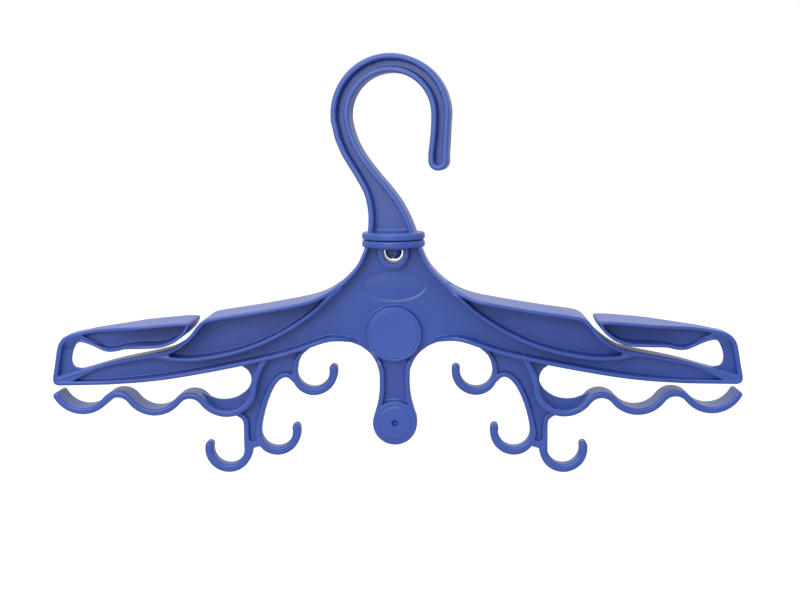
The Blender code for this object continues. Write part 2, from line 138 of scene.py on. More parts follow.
POST = (
    (246.2, -105.0), (248.6, -104.0), (249.8, -101.8), (249.7, -98.5), (248, -89.5), (246.4, -80.5),
    (244.6, -74.2), (240.6, -69.4), (234.2, -66.7), (230.2, -66.2))
TEARDROP = (
    (222, -93.0), (231.5, -92.9), (235.6, -91.2), (237.1, -86.8), (236.0, -80.5), (233.9, -75.7),
    (232.0, -73.6), (230.2, -71.9))
ARCH = (
    (33.5, -73.7), (25.4, -76.9), (18.9, -81.3), (13.9, -87.2), (11.3, -93.6), (10.6, -99.8),
    (10.8, -109.4), (12.0, -117.5), (14.0, -125.0), (15.6, -130.5))
JAW_TOP = (
    (234.2, -66.6), (229.1, -65.7), (220.6, -64.0), (212.9, -62.9), (196.6, -61.1), (177, -59.0),
    (155.4, -57.1), (147.6, -57.0))
JAW_UNDER = (
    (145.3, -59.0), (148.5, -64.7), (155.1, -70.4), (161.0, -73.3), (166.5, -74.9), (172, -75.5),
    (185.3, -75.9), (194, -76.8), (200.5, -78.5), (206, -79.3), (211.5, -78.6), (221, -74.8),
    (228.9, -72.4))
JAW_TIP, JAW_TIP_R = (146.9, -58.4), 1.45
JAW_ROOT = (
    (213.4, -74.8), (219.5, -71.6), (225.2, -69.2), (229, -67.4), (236, -68.2), (240.2, -71.6),
    (242.4, -75.2), (242.6, -78.8), (235.9, -79.4), (234.4, -76.4), (232.5, -74.3), (229.4, -72.8),
    (221, -74.8), (215, -77.0))
TREE_INNER = (
    (101.0, -143.0), (100.3, -138.4), (98.9, -131), (97.0, -123.5), (94.5, -116.1), (91.5, -109.2),
    (88.1, -103.6), (84.2, -99.6), (80.2, -97.8), (76.2, -98.6), (72.6, -102.0))
TREE_FOOT = (99.6, -148.5)
WALL = ((56, -72.5), (63.5, -78.0), (68.5, -82.7), (71.3, -88.4), (72.4, -94.4))
STEM_OUTER = ((118, -125.4), (113.6, -127.2), (110.2, -130.2), (109.0, -134.8), (109.0, -151.5))
CORNER = ((163.4, -80.4), (178.5, -83.0), (168, -84.4), (162.0, -84.5))
HEEL = (
    (246.5, -103.6), (248.8, -100.2), (246.8, -98.0), (218, -90.8), (218, -93.3), (224, -95.9), (230, -98.8),
    (236.6, -102.2), (238, -103.8))
FOOT = ((111, -143.9), (107.2, -144.9), (106.7, -146.2), (105.6, -147.1), (104.3, -147.2), (102.8, -146.8),
        (101.2, -146.0), (99.6, -145.2), (99.0, -150.6), (105, -152.4), (109, -153))
GUSSET = (
    (118, -88.6), (112.2, -91.4), (107.6, -94.6), (105.2, -99.0), (105.1, -103.4), (107.4, -108.2),
    (111.8, -112.2), (117.5, -115.2), (124.2, -116.4), (130.6, -115.9), (135.8, -114.0), (140.4, -112.0),
    (145.4, -110.3))
HOOK_OUTER = (
    (-17.6, 4.5), (-16.9, 11), (-17.0, 21), (-19.6, 33), (-26.1, 45.3), (-35.3, 60.5), (-41.4, 75))
HOOK_INNER = (
    (-28.6, 80), (-25.4, 70.6), (-18.8, 59), (-8.4, 45.8), (-0.6, 36.6), (7, 26), (12.6, 15),
    (16.6, 4.5))
HOOK_DROP = ((41.7, 82), (41.0, 70), (40.4, 61))
HOOK_RISE = ((26.6, 61), (28.1, 73), (28.8, 82))
# Each hose hook: centre, mean radius, and the angles where it starts and where its tip is
HOSE_HOOKS = (((59.1, -95.3), 14.8, 3, -187.6), ((86.6, -139.9), 14.6, 8, -191.6),
              ((122.4, -152.9), 14.5, -187, 10.6))
# Rail scallops: the outermost trough, the pitch, and the radii of a crest and of a trough
RAIL_TROUGH = (227.6, -123.2)
RAIL_PITCH, RAIL_DROP = 52.7, 1.1
CREST_R, TROUGH_R = 11.8, 21.6
RAIL_END, RAIL_INNER = -28.5, -113
RAIL_UP_TREE = (
    (107.3, -119.2), (103.6, -113.6), (102.3, -107.3), (100.4, -99.2), (96.4, -90.2), (92.0, -83.5))


# ---- Curves in the plane of the hanger ----

def smooth(points, steps=FINE):
    """A Catmull-Rom curve through the points."""
    ends = [tuple(2 * a - b for a, b in zip(points[0], points[1]))]
    ends += list(points)
    ends.append(tuple(2 * a - b for a, b in zip(points[-1], points[-2])))
    curve = []
    for p0, p1, p2, p3 in zip(ends, ends[1:], ends[2:], ends[3:]):
        for i in range(steps):
            t = i / steps
            curve.append(tuple(
                0.5 * (2 * b + (c - a) * t + (2 * a - 5 * b + 4 * c - d) * t * t
                       + (3 * b - a - 3 * c + d) * t ** 3)
                for a, b, c, d in zip(p0, p1, p2, p3)))
    curve.append(tuple(points[-1]))
    return curve


def arc(centre, radius, start, end, steps):
    """Points on a circle from one angle to another, in degrees."""
    angles = [math.radians(start + (end - start) * i / steps) for i in range(steps + 1)]
    return [(centre[0] + radius * math.cos(a), centre[1] + radius * math.sin(a)) for a in angles]


def circle(radius, steps):
    """Points round a full circle about the origin."""
    turns = [2 * math.pi * i / steps for i in range(steps)]
    return [(radius * math.cos(a), radius * math.sin(a)) for a in turns]


def normals(path, closed=False):
    """The unit normal to the left of each point's direction of travel."""
    found = []
    last = len(path) - 1
    for i in range(len(path)):
        ahead = path[(i + 1) % len(path)] if closed else path[min(i + 1, last)]
        behind = path[i - 1] if closed else path[max(i - 1, 0)]
        dx, dz = ahead[0] - behind[0], ahead[1] - behind[1]
        length = math.hypot(dx, dz)
        found.append((-dz / length, dx / length))
    return found


def offset(path, distance, closed=False):
    """The path moved to its left."""
    return [(x + nx * distance, z + nz * distance) for (x, z), (nx, nz) in zip(path, normals(path, closed))]


def level(table, x):
    """The height of a broken line at x."""
    for (x0, y0), (x1, y1) in zip(table, table[1:]):
        if abs(x) <= x1:
            return y0 + (y1 - y0) * (abs(x) - x0) / (x1 - x0)
    return table[-1][1]


def depth_at(half, x, z):
    """Half the depth at a place, from a number, from a table by x or from a rule."""
    if callable(half):
        return half(x, z)
    return half if isinstance(half, (int, float)) else level(half, x)


def area(outline):
    """Twice the signed area of a closed outline; positive runs anticlockwise."""
    return sum(a[0] * b[1] - b[0] * a[1] for a, b in zip(outline, outline[1:] + outline[:1]))


def mirrored(half):
    """A closed outline from its right half, which starts and ends on the middle line."""
    return list(half) + [(-x, z) for x, z in reversed(half) if abs(x) > 1e-6]


def within(path, span, axis=0):
    """The points of a path whose distance from the middle, or with axis=1 whose height, is in a span."""
    return [point for point in path if span[0] < point[axis] < span[1]]


def eased(value, start, end):
    """From 0 to 1, smoothly, as a value goes from start to end."""
    t = min(1, max(0, (value - start) / (end - start)))
    return t * t * (3 - 2 * t)


def bearing(origin, target):
    """The direction from one point to another, in degrees."""
    return math.degrees(math.atan2(target[1] - origin[1], target[0] - origin[0]))


# ---- Solids ----

def finished(name, mesh):
    """An object from a closed bmesh, with its faces pointing out."""
    bmesh.ops.recalc_face_normals(mesh, faces=mesh.faces)
    if mesh.calc_volume(signed=True) < 0:
        bmesh.ops.reverse_faces(mesh, faces=mesh.faces)
    data = bpy.data.meshes.new(name)
    mesh.to_mesh(data)
    mesh.free()
    made = bpy.data.objects.new(name, data)
    bpy.context.scene.collection.objects.link(made)
    return made


def skinned(name, rings):
    """A closed object from rings of points that are skinned in order, with its ends filled."""
    mesh = bmesh.new()
    loops = [[mesh.verts.new([c * MM for c in point]) for point in ring] for ring in rings]
    for first, second in zip(loops, loops[1:]):
        for i in range(len(first)):
            j = (i + 1) % len(first)
            mesh.faces.new((first[i], first[j], second[j], second[i]))
    mesh.faces.new(loops[0])
    mesh.faces.new(loops[-1])
    return finished(name, mesh)


def slab(name, outline, half, edge=0.0, side=1):
    """A closed outline in XZ, as deep as `half` each way, with rounded edges on both faces."""
    outline = list(outline)
    inward = 1 if area(outline) > 0 else -1
    rounds = [(edge * (1 - math.sin(a)), edge * (1 - math.cos(a)))
              for a in (math.pi / 2 * i / ROUND_STEPS for i in range(ROUND_STEPS + 1))]
    front = rounds if edge else [(0, 0)]
    rings = []
    for face, steps in ((-1, front), (1, front[::-1])):
        for inset, drop in steps:
            ring = offset(outline, inward * inset, True)
            rings.append([(side * x, face * (depth_at(half, x, z) - drop), z) for x, z in ring])
    return skinned(name, rings)


def section(right, left, half, foot, edge):
    """A rib's cross-section as (across, depth), with round edges and, on its sides named in foot, fillets."""
    r = min(edge, (left - right) / 2 * ROUND_LIMIT)
    f = min(FILLET, half - r - WEB - TUCK)
    quarter = 90 / ROUND_STEPS

    def corner(centre, start):
        """A quarter circle."""
        return [(centre[0] + r * math.cos(a), centre[1] + r * math.sin(a))
                for a in (math.radians(start + quarter * i) for i in range(ROUND_STEPS + 1))]

    def fillet(across, out):
        """The curved feet of one side, on the plate's front face and its back face."""
        front = [(across + out * f * (1 - math.cos(a)), -WEB - f + (f + TUCK / 3) * math.sin(a))
                 for a in (math.radians(quarter * i) for i in range(ROUND_STEPS + 1))]
        return front + [(x, -y) for x, y in reversed(front)]

    points = corner((right + r, r - half), 180) + corner((left - r, r - half), 270)
    if "left" in foot:
        points += fillet(left, 1)
    points += corner((left - r, half - r), 0) + corner((right + r, half - r), 90)
    if "right" in foot:
        points += [(x, y) for x, y in reversed(fillet(right, -1))]
    return points


def rib(name, path, right, left, half, foot="", edge=EDGE, side=1, emerge=(0, 0.0)):
    """A rib along a path, from `right` to `left` of it, and `half` deep each way along Y.

    `emerge` is over how many points it grows out of a thinner rib, and how much thinner its left starts.
    """
    count, thinner = emerge
    rings = []
    for i, ((x, z), (nx, nz)) in enumerate(zip(path, normals(path))):
        short = 1 - eased(i, 0, count) if count else 0
        deep_here = depth_at(half, x, z) - EMERGE_DEEP * short
        profile = section(right, left - thinner * short, deep_here, foot, edge - (edge - EDGE) * short)
        rings.append([(side * (x + nx * across), deep, z + nz * across) for across, deep in profile])
    return skinned(name, rings)


def rim(radius, low, high, edge):
    """The outer profile of a disc with round edges, as (radius, height)."""
    lower = arc((radius - edge, low + edge), edge, -90, 0, ROUND_STEPS)
    return lower + arc((radius - edge, high - edge), edge, 0, 90, ROUND_STEPS)


def turned(name, profile, steps=128):
    """A profile of (radius, z), turned about Z, with flat ends."""
    return skinned(name, [[(x, y, z) for x, y in circle(r, steps)] for r, z in profile])


def facing(name, profile, centre, steps=96, side=1):
    """A profile of (radius, y), turned about an axis along Y, with flat ends."""
    return skinned(name, [[(side * (centre[0] + x), y, centre[1] + z) for x, z in circle(r, steps)]
                          for r, y in profile])


def tip(name, centre, radius, half, side, edge=EDGE):
    """The round end of a rib."""
    return facing(name, rim(radius, -half, half, min(edge, radius * ROUND_LIMIT)), centre, 32, side)


def solid_from(base, cuts, joins, last_cuts=()):
    """The base less its cuts, joined with its joins, less the last cuts, as one closed mesh."""
    steps = [(o, "DIFFERENCE") for o in cuts] + [(o, "UNION") for o in joins]
    steps += [(o, "DIFFERENCE") for o in last_cuts]
    for operand, operation in steps:
        modifier = base.modifiers.new(operand.name, "BOOLEAN")
        modifier.operation = operation
        modifier.object = operand
        modifier.solver = "MANIFOLD"
    bpy.context.view_layer.update()
    graph = bpy.context.evaluated_depsgraph_get()
    result = bpy.data.meshes.new_from_object(base.evaluated_get(graph))
    base.modifiers.clear()
    base.data = result
    for operand, _ in steps:
        bpy.data.objects.remove(operand)
    return base


def box(name, low, high):
    """A plain cutter between two corners."""
    (x0, y0, z0), (x1, y1, z1) = low, high
    return skinned(name, [[(x0, y, z0), (x1, y, z0), (x1, y, z1), (x0, y, z1)] for y in (y0, y1)])


def cove(name, line, reach):
    """The curved foot where the mid-plane plate meets a face that looks to the left of a line in XZ."""
    curve = [(-WEB - reach + reach * math.sin(a), reach - reach * math.cos(a) - TUCK)
             for a in (math.radians(90 * i / 8) for i in range(9))]
    curve += [(-y, rise) for y, rise in reversed(curve)]
    return skinned(name, [[(x + nx * rise, y, z + nz * rise) for y, rise in curve]
                          for (x, z), (nx, nz) in zip(line, normals(line))])


# ---- The frame ----

def rail_path():
    """The scalloped rail from its free end inwards, and on up the tree to the arm."""
    x, z = RAIL_TROUGH
    troughs = [(x - RAIL_PITCH * i, z - RAIL_DROP * i + TROUGH_R) for i in range(3)]
    path = []
    start = RAIL_END
    for centre, after in zip(troughs, troughs[1:]):
        half = math.dist(centre, after) / 2
        away = math.sqrt((TROUGH_R + CREST_R) ** 2 - half ** 2)
        down = math.radians(bearing(centre, after) + 90)
        crest = ((centre[0] + after[0]) / 2 + away * math.cos(down),
                 (centre[1] + after[1]) / 2 + away * math.sin(down))
        path += arc(centre, TROUGH_R, start, bearing(centre, crest), 20)
        path += arc(crest, CREST_R, bearing(crest, centre), bearing(crest, after), 14)[1:-1]
        start = bearing(after, crest)
    path += arc(troughs[-1], TROUGH_R, start, RAIL_INNER, 14)
    return path + smooth(RAIL_UP_TREE)


def frame_web():
    """The outline of the mid-plane plate; under a rib it stops inside the rib."""
    top = offset(smooth(SHOULDER_TOP), -RIB / 2)
    arm = within(offset(smooth(ARM_TOP), -RIB / 2), ARM_TOP_EDGE)
    post = within(offset(smooth(POST), POST_T / 2), POST_EDGE, 1)[::-1]
    bottom = within(offset(smooth(ARM_BOTTOM), RIB / 2), ARM_BOTTOM_EDGE)[::-1]
    pad = arc((0, PAD_Z), PAD_R - 1, 15, -90, 9)
    return mirrored([(0, -3)] + top[:-2] + arm + smooth(TEARDROP) + post + bottom + smooth(ARCH)[1:] + pad)


def tree_web(rail):
    """The plate between the ribs of a hook tree."""
    stem = within(smooth(STEM_OUTER), STEM_EDGE, 1)
    return within(rail, TREE_EDGE)[::-1] + stem + [TREE_FOOT] + smooth(TREE_INNER) + smooth(WALL)[::-1]


def gusset_web(rail):
    """The small plate in the corner where the rail turns up to the arm."""
    return smooth(GUSSET) + within(rail, GUSSET_EDGE)


def leg_depth(_, z):
    """Half the depth of a leg's edge rib, which fades out above the leg."""
    return LEG_HALF - (LEG_HALF - WEB - LEG_PROUD) * eased(z, *LEG_FADE)


def diagonal_depth(x, _):
    """Half the depth of the diagonal, which rises towards the shoulder where the two meet."""
    joined = min(level(SHOULDER, x) - 3 * TUCK, DIAGONAL_JOIN)
    return joined + (level(BEAM, x) - 2 * TUCK - joined) * eased(x, *DIAGONAL_FADE)


def side_parts(side):
    """The ribs, plates and hooks of one half of the frame."""
    rail = rail_path()
    leg = within(smooth(ARCH), LEG_RIB, 1)
    beam, low_beam = ([(x, half - tucks * TUCK) for x, half in BEAM] for tucks in (2, 5))
    strips = [
        ("shoulder", smooth(SHOULDER_TOP), -RIB, 0, SHOULDER, "right", EDGE),
        ("diagonal", smooth(DIAGONAL), -DIAGONAL_T, 0, diagonal_depth, "left right", EDGE),
        ("arm_top", smooth(ARM_TOP), -ARM_T, 0, beam, "right", EDGE),
        ("arm_bottom", smooth(ARM_BOTTOM), 0, ARM_T, ARM_RISE + BEAM[3:], "left", EDGE),
        ("post", smooth(POST), 0, POST_T, END_HALF, "left", EDGE),
        ("leg", leg, 2 * TUCK - LEG_T, 2 * TUCK, leg_depth, "right", EDGE),
        ("rail", rail, -RAIL_T / 2, RAIL_T / 2, RAIL_HALF, "", RAIL_EDGE),
        ("stem", smooth(STEM_OUTER), -TREE_T / 2, TREE_T / 2, HOSE_HALF - 2 * TUCK, "right", EDGE),
        ("inner", smooth(TREE_INNER), -TREE_T / 2, TREE_T / 2, HOSE_HALF - TUCK, "right", EDGE),
        ("wall", smooth(WALL), -WALL_T / 2, WALL_T / 2, HOSE_HALF - 3 * TUCK, "left", EDGE),
    ]
    parts = [rib(f"{name}_{side}", *strip, side) for name, *strip in strips]
    parts.append(tip(f"rail_tip_{side}", rail[0], RAIL_T / 2 - NEAR, RAIL_HALF - NEAR, side, RAIL_EDGE))
    # Two hose hooks grow out of a rib of the tree, and the third starts inside the tree's foot
    leads = ((within(offset(smooth(WALL), TUCK - WALL_T / 2), WALL_LEAD, 1), WALL_T),
             (within(offset(smooth(TREE_INNER)[::-1], TUCK - TREE_T / 2), INNER_LEAD, 1), TREE_T),
             ([], HOSE_T))
    for i, ((centre, radius, start, end), (lead, thickness)) in enumerate(zip(HOSE_HOOKS, leads)):
        path = arc(centre, radius, start, end, HOSE_STEPS)
        if lead:
            band = (lead + offset(path, -HOSE_T / 2), 0, HOSE_T)
            emerge = (len(lead) + HOSE_STEPS // 2, HOSE_T - thickness + 3 * TUCK)
        else:
            band, emerge = (path, -HOSE_T / 2, HOSE_T / 2), (0, 0.0)
        parts.append(rib(f"hose_{i}_{side}", *band, HOSE_HALF, "", HOSE_EDGE, side, emerge))
        parts.append(tip(f"hose_tip_{i}_{side}", path[-1], HOSE_T / 2 - NEAR, HOSE_HALF - NEAR, side,
                         HOSE_EDGE))
    plates = [("tree", tree_web(rail), WEB + TUCK), ("gusset", gusset_web(rail), WEB - TUCK),
              ("corner", CORNER, low_beam), ("heel", HEEL, low_beam),
              ("foot", FOOT, HOSE_HALF - 4 * TUCK)]
    for name, outline, half in plates:
        parts.append(slab(f"{name}_{side}", outline, half, 0, side))
    return parts


def lip():
    """The raised wall round the U-shaped window under the flange, with the ledge that the barb catches."""
    middle = WINDOW_R + LIP / 2
    bend = arc((0, WINDOW_BOTTOM_Z + WINDOW_R), middle, 0, -180, 40)
    wall = [(middle, LIP_TOP_Z), (middle, LIP_BEND_Z)] + bend + [(-middle, LIP_BEND_Z), (-middle, LIP_TOP_Z)]
    ledge = [(middle, LIP_TOP_Z), (-middle, LIP_TOP_Z), (-middle, LEDGE_Z), (middle, LEDGE_Z)]
    return [rib("lip", wall, -LIP / 2, LIP / 2, LIP_HALF, "left", LIP_EDGE),
            slab("ledge", ledge, LIP_HALF - LEDGE_SUNK)]


def window_hole():
    """The window as it is cut in the plate, hidden inside the wall round it."""
    radius = WINDOW_R + LIP / 2
    bend = arc((0, WINDOW_BOTTOM_Z + WINDOW_R), radius, 0, -180, 24)
    return [(radius, LEDGE_Z)] + bend + [(-radius, LEDGE_Z)]


def disc():
    """The raised disc, hollow from behind, with a dished face in a stepped rim and a foot on the plate."""
    front, wall, foot = -DISC_HALF, DISC_R - DISC_CAP, WEB - TUCK / 3
    outer, inner, deep = DISC_BEVELS
    profile = [(r, front + DISC_DISH * (1 - (r / wall) ** 2) - 0.1) for r in (*DISC_RINGS, wall - 0.2)]
    profile += [(wall + out, front + back) for out, back in DISC_STEP]
    profile += arc((DISC_R - DISC_ROUND, front + 0.3 + DISC_ROUND), DISC_ROUND, -80, 0, 8)
    profile += [(DISC_R + DISC_FOOT * (1 - math.cos(a)), DISC_FOOT * (math.sin(a) - 1) - foot)
                for a in (math.radians(90 * i / 6) for i in range(7))]
    profile += [(DISC_R + DISC_FOOT, foot), (DISC_R, foot)]
    # Behind the plate: the wall's chamfered end, and the hollow behind the cap
    profile += [(DISC_R, DISC_HALF - outer), (DISC_R - outer, DISC_HALF), (wall + inner, DISC_HALF),
                (wall, DISC_HALF - inner), (wall, front + DISC_CAP + deep), (wall - deep, front + DISC_CAP),
                (PIN, front + DISC_CAP)]
    return facing("disc", profile, (0, DISC_Z))


def pad():
    """The round pad at the foot of the leg, with a raised middle."""
    front, top = -PAD_HALF, -PAD_HALF - PAD_RISE
    profile = [(PIN, top), (PAD_RING_R - 0.6, top), (PAD_RING_R - 0.2, top + 0.15),
               (PAD_RING_R + 0.25, front - 0.3), (PAD_RING_R + 0.6, front)]
    profile += rim(PAD_R, -PAD_HALF, PAD_HALF, PAD_ROUND) + [(PIN, PAD_HALF)]
    return facing("pad", profile, (0, PAD_Z))


def dimple():
    """A round-bottomed hole in the middle of the pad."""
    top = -PAD_HALF - PAD_RISE
    mouth = [(DIMPLE_R + 0.5, top - 2), (DIMPLE_R + 0.4, top)]
    bowl = arc((0, DIMPLE_SUNK - PAD_HALF), DIMPLE_R, 6, 84, 8)
    return facing("dimple", mouth + bowl, (0, PAD_Z), 40)


def oval():
    """The shallow oval sunk in the plate, with a soft edge and a floor that rises a little to its middle."""
    steps = [(inset, part * OVAL_DEEP - WEB) for inset, part in OVAL_RINGS]
    steps += [(0, -WEB - 0.01), (0, -CLEAR)]
    rings = [[(x * (OVAL_A - inset), y, OVAL_Z + z * (OVAL_B - inset)) for x, z in circle(1, 96)]
             for inset, y in steps]
    return skinned("oval", rings)


def leg_foot():
    """The foot of the leg's plate against the pad, between the leg's ribs."""
    rim_line = arc((0, PAD_Z), PAD_R, 90 + LEG_FOOT_TURN, 90 - LEG_FOOT_TURN, 24)
    return cove("leg_cove", rim_line, LEG_COVE)


def root_depth(x, z):
    """Half the depth of a jaw's root, which runs down to the plate of the end post."""
    full = level(JAW, x) - 2 * TUCK
    return full - (full - WEB - TUCK) * eased(z, *ROOT_FADE)


def end_box(side):
    """The space above the seam at one end, which an end's mesh fills and the frame's leaves."""
    low, high = sorted(side * x for x in END_X)
    return box(f"end_box_{side}", (low, -CLEAR, SEAM_Z), (high, CLEAR, END_TOP_Z))


def hanger_moulding():
    """The frame: plates, ribs, rails, hose hooks, leg and flange, without its ends."""
    base = slab("hanger_moulding", frame_web(), WEB, WEB_EDGE)
    cuts = [slab("window_hole", window_hole(), CLEAR),
            facing("disc_hole", [(DISC_R - 1, -CLEAR), (DISC_R - 1, CLEAR)], (0, DISC_Z))]
    joins = side_parts(1) + side_parts(-1) + lip() + [leg_foot(), disc(), pad()]
    joins.append(turned("flange", [(1, -FLANGE_T)] + rim(FLANGE_R, -FLANGE_T, 0, FLANGE_ROUND) + [(1, 0)]))
    last_cuts = [turned("bore", [(BORE_R, LEDGE_Z - 1), (BORE_R, 1)]), dimple(), oval(),
                 end_box(1), end_box(-1)]
    return solid_from(base, cuts, joins, last_cuts)


def end_jaw(name, side):
    """One sprung jaw with the corner of the end post that it bends from."""
    under, top = smooth(JAW_UNDER), smooth(JAW_TOP)
    plate = offset(top[FINE:], JAW_LAP) + offset(under, JAW_LAP)
    corner = within(within(smooth(TEARDROP), (SEAM_Z - END_LAP, 0), 1), END_X)
    corner += within(offset(smooth(POST), POST_T / 2), (SEAM_Z - POST_LAP, 0), 1)[::-1]
    base = slab(name, plate, WEB, 0, side)
    joins = [
        rib(f"jaw_top_{side}", top, 0, JAW_TOP_T, JAW, "left", EDGE, side),
        rib(f"jaw_under_{side}", under, 0, JAW_UNDER_T, JAW, "left", EDGE, side),
        rib(f"jaw_post_{side}", smooth(POST), 0, POST_T, END_HALF, "left", EDGE, side),
        slab(f"jaw_corner_{side}", corner, WEB, WEB_EDGE, side),
        slab(f"jaw_root_{side}", smooth(JAW_ROOT, 2), root_depth, JAW_ROOT_EDGE, side),
        tip(f"jaw_tip_{side}", JAW_TIP, JAW_TIP_R, level(JAW, JAW_TIP[0]), side),
    ]
    low, high = sorted(side * x for x in JAW_X)
    below = box(f"jaw_below_{side}", (low, -CLEAR, JAW_BELOW_Z), (high, CLEAR, SEAM_Z))
    return solid_from(base, [], joins, [below])


# ---- The hook ----

def hook_edges():
    """The hook's outer edge to its tip, and its inner edge back to the flange."""
    outside = smooth(HOOK_OUTER)[:-1] + arc(HOOK_CROWN, HOOK_R, 187, 0, 64) + smooth(HOOK_DROP)
    outside += arc(HOOK_TIP, HOOK_TIP_R, 5, -85, 12)
    inside = arc(HOOK_TIP, HOOK_TIP_R, -95, -185, 12) + smooth(HOOK_RISE)
    return outside + inside + arc(HOOK_CROWN, HOOK_R - HOOK_BAND, 0, 190, 56) + smooth(HOOK_INNER)


def hook_moulding():
    """The hook with its flange and its split, barbed stem."""
    edges = hook_edges()
    base = slab("hook_moulding", offset(edges, -HOOK_RIB / 2), WEB)
    low, high = GAP, GAP + FLANGE_T
    flange = [(1, low)] + rim(FLANGE_R, low, high, FLANGE_ROUND) + [(1, high)]
    caught = LEDGE_Z - GAP
    stem = [(radius, BARB_END_Z + rise) for radius, rise in BARB_NOSE]
    stem += [(BARB_R, caught - BARB_BEVEL), (BARB_R - BARB_BEVEL, caught)]
    stem += [(STEM_R, caught), (STEM_R, high - 1)]
    joins = [rib("hook_rib", edges, -HOOK_RIB, 0, HOOK_HALF, "right", HOOK_EDGE),
             cove("hook_cove", [(-HOOK_COVE_HALF, high), (HOOK_COVE_HALF, high)], HOOK_COVE),
             turned("hook_flange", flange), turned("hook_stem", stem, 64)]
    slit = box("slit", (-SLIT / 2, -CLEAR, BARB_END_Z - 1), (SLIT / 2, CLEAR, SLIT_TOP_Z))
    hook = solid_from(base, [], joins, [slit])
    hook.data.transform(Matrix.Rotation(HOOK_TURN, 4, "Z"))
    return hook


# ---- Materials ----

# Each noise as (waves in a metre, detail) and, where it isn't the usual 0.5, roughness
CLOUDS, STREAKS, EDGE_HIGHLIGHT_BREAKUP, GRAIN, SINKS, SHEEN = (26, 4, 0.6), (240, 2), (900, 3), (2600, 2), (75, 1), (24, 1)
CLOUD_SHADE, STREAK_SHADE = 0.035, 0.012
# Along rounded edges a painted highlight makes the blue lighter and paler, and the surface a little smoother;
# the first reach is that edge mask's, the second softens creases
EDGE_HIGHLIGHT_LIGHTER, EDGE_HIGHLIGHT_PALER, EDGE_SMOOTHER = 0.16, 0.06, 0.05
EDGE_HIGHLIGHT_REACH, SOFT_EDGE = 0.9 * MM, 0.35 * MM
# The hook's blue is a little paler than the frame's: painted sheen for the paler look of the hook's web
BLUE, HOOK_BLUE = (0.032, 0.075, 0.34), (0.038, 0.084, 0.345)
FRAME_ROUGH, HOOK_ROUGH, SHEEN_ROUGH = 0.31, 0.38, 0.02


def plastic(name, colour, roughness):
    """Satin injection-moulded plastic: slight cloudiness, a painted highlight along its rounded edges, fine
    grain and sink marks.
    """
    material = bpy.data.materials.new(name)
    material.use_nodes = True
    tree = material.node_tree
    nodes, links = tree.nodes, tree.links
    shader = nodes["Principled BSDF"]

    def add(kind, **values):
        """A node, with its sockets and its settings given by name."""
        node = nodes.new(kind)
        for key, value in values.items():
            if key in node.inputs:
                node.inputs[key].default_value = value
            else:
                setattr(node, key, value)
        return node

    def maths(operation, first, second):
        """The result of a sum on two sockets or numbers."""
        node = add("ShaderNodeMath", operation=operation)
        for socket, value in zip(node.inputs, (first, second)):
            if isinstance(value, (int, float)):
                socket.default_value = value
            else:
                links.new(value, socket)
        return node.outputs[0]

    def noise(scale, detail, rough=0.5):
        """Noise that stays in place on the piece."""
        node = add("ShaderNodeTexNoise", Scale=scale, Detail=detail, Roughness=rough)
        links.new(place.outputs["Object"], node.inputs["Vector"])
        return node.outputs["Fac"]

    def scaled(value, low, high):
        """The usual range of a noise, stretched from low to high."""
        node = add("ShaderNodeMapRange")
        links.new(value, node.inputs["Value"])
        node.inputs["From Min"].default_value, node.inputs["From Max"].default_value = 0.3, 0.7
        node.inputs["To Min"].default_value, node.inputs["To Max"].default_value = low, high
        return node.outputs["Result"]

    place = add("ShaderNodeTexCoord")
    geometry = add("ShaderNodeNewGeometry")
    rounded = add("ShaderNodeBevel", samples=6, Radius=EDGE_HIGHLIGHT_REACH)
    facing_edge = add("ShaderNodeVectorMath", operation="DOT_PRODUCT")
    links.new(rounded.outputs[0], facing_edge.inputs[0])
    links.new(geometry.outputs["Normal"], facing_edge.inputs[1])
    # edge: a mask along rounded edges, broken up by noise, that paints a highlight there (lighter, paler
    # blue) and lowers the roughness
    edge = maths("MULTIPLY", maths("SUBTRACT", 1.0, facing_edge.outputs["Value"]), 2.2)
    edge = maths("MINIMUM", maths("MULTIPLY", edge, scaled(noise(*EDGE_HIGHLIGHT_BREAKUP), 0.5, 1.2)), 1.0)

    cloud = maths("MULTIPLY", scaled(noise(*CLOUDS), -1.0, 1.0), CLOUD_SHADE)
    streak = maths("MULTIPLY", scaled(noise(*STREAKS), -1.0, 1.0), STREAK_SHADE)
    # shade: random cloudy tone and flow streaks, plus the painted highlight along edges
    shade = maths("ADD", maths("ADD", cloud, streak), maths("MULTIPLY", edge, EDGE_HIGHLIGHT_LIGHTER))
    tint = add("ShaderNodeHueSaturation", Color=(*colour, 1))
    links.new(maths("ADD", 1.0, shade), tint.inputs["Value"])
    links.new(maths("SUBTRACT", 1.0, maths("MULTIPLY", edge, EDGE_HIGHLIGHT_PALER)), tint.inputs["Saturation"])
    links.new(tint.outputs["Color"], shader.inputs["Base Color"])

    rough = maths("ADD", roughness, maths("MULTIPLY", scaled(noise(*SHEEN), -1.0, 1.0), SHEEN_ROUGH))
    rough = maths("ADD", rough, maths("MULTIPLY", edge, -EDGE_SMOOTHER))
    links.new(rough, shader.inputs["Roughness"])

    grain = add("ShaderNodeBump", Strength=0.12, Distance=0.03 * MM)
    links.new(noise(*GRAIN), grain.inputs["Height"])
    sink = add("ShaderNodeBump", Strength=0.35, Distance=0.25 * MM)
    links.new(noise(*SINKS), sink.inputs["Height"])
    soft = add("ShaderNodeBevel", samples=6, Radius=SOFT_EDGE)
    links.new(soft.outputs[0], sink.inputs["Normal"])
    links.new(sink.outputs[0], grain.inputs["Normal"])
    links.new(grain.outputs[0], shader.inputs["Normal"])
    shader.inputs["IOR"].default_value = 1.49
    return material


